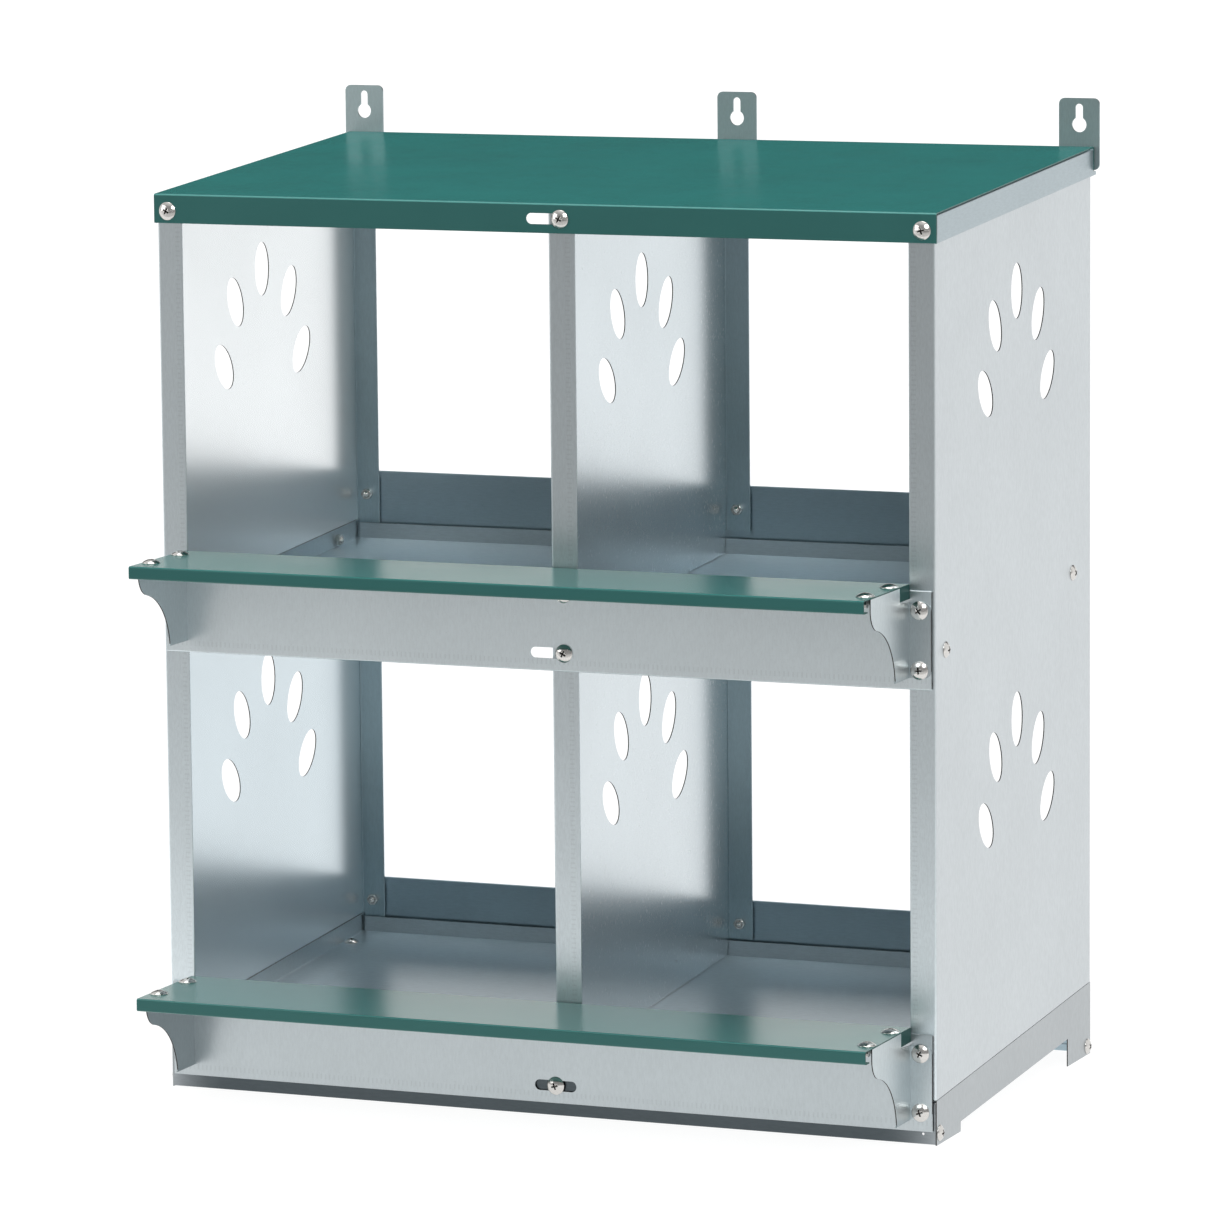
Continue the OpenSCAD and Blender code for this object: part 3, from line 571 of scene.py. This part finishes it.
def islands(node):
    """The points of each separate solid in a CAD node."""
    bm = bmesh.new()
    bm.from_mesh(nodes[node].data)
    bmesh.ops.remove_doubles(bm, verts=bm.verts, dist=WELD)
    found, seen = [], set()
    for vert in bm.verts:
        if vert in seen:
            continue
        group, front = [], [vert]
        seen.add(vert)
        while front:
            here = front.pop()
            group.append(here.co.copy())
            for edge in here.link_edges:
                other = edge.other_vert(here)
                if other not in seen:
                    seen.add(other)
                    front.append(other)
        found.append(np.array([tuple(p) for p in group]))
    bm.free()
    return found


def heading(node, middle):
    """Which way a fastener's own +Z points: a screw's head end, or either end of a nut, which are alike."""
    nut = node.endswith(("nuts", "nut"))
    if node.startswith("perch"):
        return Vector((0, 0, 1))
    if node.startswith("lower_floor"):
        return Vector((0, -math.sin(FLOOR_TILT), math.cos(FLOOR_TILT)))
    if node.startswith(("upper_floor", "base")):
        return Vector((math.copysign(1, middle[0]), 0, 0))
    front = -1 if middle[1] < MIDDLE else 1
    return Vector((0, -front if nut else front, 0))


def halfway(points):
    """The middle of the points' box."""
    return (points.min(axis=0) + points.max(axis=0)) / 2


def place_all(node, solids, master, top, turn):
    """One joined mesh with the master at every solid of the node; top is its highest point on +Z."""
    bm = bmesh.new()
    for number, points in enumerate(solids):
        centre = Vector(halfway(points))
        axis = heading(node, centre)
        seat = centre + axis * ((points @ np.array(axis)).max() - top - centre.dot(axis))
        upright_to_axis = axis.to_track_quat("Z", "Y").to_matrix().to_4x4()
        matrix = Matrix.Translation(seat) @ upright_to_axis @ Matrix.Rotation(turn(number), 4, "Z")
        copy = master.copy()
        copy.transform(matrix)
        bm.from_mesh(copy)
        bpy.data.meshes.remove(copy)
    return as_mesh(bm, node + "_detailed")


def as_mesh(bm, name):
    mesh = bpy.data.meshes.new(name)
    bm.to_mesh(mesh)
    bm.free()
    return mesh


def joined(parts):
    bm = bmesh.new()
    for part in parts:
        bm.from_mesh(part)
    return as_mesh(bm, "joined")


def as_driven(number):
    """Screws come to rest at whatever angle they were driven to."""
    return math.radians(SPINS[number % len(SPINS)])


def square_on(number):
    """Nuts that lie square to the box."""
    return 0.0


HEADS = {radius: master_head(radius, HEAD_H) for radius in (FRONT_HEAD, SIDE_HEAD)}
NUT = master_nut(NUT_FLATS, NUT_H, NUT_HOLE)
owner = {}
for body, members in frame["record"]["behaviour"]["bodies"].items():
    for node in members:
        owner[node] = body
for node in nodes:
    if "screw" not in node and not node.endswith(("_nut", "_nuts")):
        continue
    solids = islands(node)
    if "screw" in node:
        small = node.startswith(("base", "upper_floor", "lower_floor"))
        span = solids[0] @ np.array(heading(node, halfway(solids[0])))
        shank = thread(SHANK, INTO_HEAD, -(span.max() - span.min() - HEAD_H))
        master = joined([HEADS[SIDE_HEAD if small else FRONT_HEAD], shank])
        mesh = place_all(node, solids, master, HEAD_H, as_driven)
    else:
        mesh = place_all(node, solids, NUT, NUT_H, as_driven if "base" in node else square_on)
    for finish in (BRIGHT, SHADED):
        mesh.materials.append(finish)
    piece = bpy.data.objects.new(node + "_detailed", mesh)
    bpy.context.scene.collection.objects.link(piece)
    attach(piece, owner[node])
    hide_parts(node)

# ---------------------------------------------------------------- studio and camera

# A dim room in front, bright walls at the sides and back, and a bright ceiling with a lamp overhead
FRONT_TONE, BACK_TONE, TOP_TONE, LAMP_TONE = 0.32, 1.0, 0.78, 4.0

world = bpy.data.worlds.new("studio")
bpy.context.scene.world = world
world.use_nodes = True
sky = Graph(world.node_tree)
facing = sky.split(sky.add("ShaderNodeTexCoord").outputs["Generated"])
walls = sky.spread(facing["Y"], FRONT_TONE, BACK_TONE, -0.45, 0.15, "SMOOTHSTEP")
ceiling = sky.spread(facing["Z"], 0.0, 1.0, 0.55, 0.85, "SMOOTHSTEP")
lamp = sky.spread(facing["Z"], 0.0, LAMP_TONE - TOP_TONE, 0.92, 0.95, "SMOOTHSTEP")
strength = sky.math("ADD", sky.math("MULTIPLY", walls, sky.math("SUBTRACT", 1.0, ceiling)),
                    sky.math("MULTIPLY", ceiling, TOP_TONE))
strength = sky.math("ADD", strength, lamp)
backing = world.node_tree.nodes["Background"]
sky.link(strength, backing.inputs["Strength"])
backing.inputs["Color"].default_value = (1.0, 1.0, 1.0, 1.0)


def area_light(name, place, size, power):
    """A square lamp that points at the middle of the box."""
    data = bpy.data.lights.new(name, "AREA")
    data.shape = "RECTANGLE"
    data.size, data.size_y = size, size
    data.energy = power
    light = bpy.data.objects.new(name, data)
    bpy.context.scene.collection.objects.link(light)
    light.location = place
    light.rotation_euler = (Vector((0, 0, 0.35)) - Vector(place)).to_track_quat("-Z", "Y").to_euler()


def sheet(name, corners):
    """A plain four-cornered thing for the stage."""
    mesh = bpy.data.meshes.new(name)
    mesh.from_pydata(corners, [], [(0, 1, 2, 3)])
    thing = bpy.data.objects.new(name, mesh)
    bpy.context.scene.collection.objects.link(thing)
    return thing


area_light("key", (1.6, -2.2, 2.2), 1.2, 40)
area_light("fill", (-2.2, -1.6, 1.4), 1.6, 20)

studio_floor = sheet("studio_floor", [(-30, -30, 0), (30, -30, 0), (30, 30, 0), (-30, 30, 0)])
pale = Shader("pale_floor")
pale.set(Base_Color=(0.10, 0.10, 0.10, 1.0), Roughness=0.9,
         Emission_Color=(1.0, 1.0, 1.0, 1.0), Emission_Strength=0.94)
studio_floor.data.materials.append(pale.mat)

FLAG_REACH = 8.0


def flag(name, corners, tones):
    """A glowing card that only reflections and bounced light see; tones are (distance in front, grey)."""
    card = sheet(name, corners)
    card.visible_camera = False
    card.visible_shadow = False
    felt = Shader(name + "_felt")
    here = felt.split(felt.place)
    away = felt.math("DIVIDE", here["Y"], -FLAG_REACH)
    # The glow gets weaker to the right, from 1.1 to 0.75
    side = felt.math("MULTIPLY", felt.math("ADD", here["X"], 0.9), -0.22)
    side = felt.math("MINIMUM", felt.math("MAXIMUM", felt.math("ADD", side, 0.80), 0.75), 1.1)
    grey = felt.ramp(away, [(distance / FLAG_REACH, tone) for distance, tone in tones])
    felt.set(Base_Color=(0.0, 0.0, 0.0, 1.0), Roughness=1.0, Specular_IOR_Level=0.0,
             Emission_Color=grey, Emission_Strength=side)
    card.data.materials.append(felt.mat)


flag("roof_flag", [(-2.4, 1.25, 0.76), (1.2, 1.25, 0.76), (1.2, 1.25, 1.9), (-2.4, 1.25, 1.9)],
     [(0.0, 0.08), (1.0, 0.08)])
flag("front_flag", [(-7, -9, 0.002), (7, -9, 0.002), (7, -0.62, 0.002), (-7, -0.62, 0.002)],
     [(0.62, 0.96), (1.3, 0.90), (2.4, 0.60), (3.0, 0.30), (4.4, 0.12)])

CAMERA_PLACE = (1.9538, -4.7518, 1.0857)
CAMERA_DEGREES = (81.968, 0.509, 22.294)
camera_data = bpy.data.cameras.new("camera")
camera = bpy.data.objects.new("camera", camera_data)
bpy.context.scene.collection.objects.link(camera)
bpy.context.scene.camera = camera
camera.location = CAMERA_PLACE
camera.rotation_euler = [math.radians(angle) for angle in CAMERA_DEGREES]
camera_data.sensor_width = 36.0
camera_data.lens = 206.12
camera_data.clip_end = 100.0
bpy.context.scene.view_settings.view_transform = "Standard"
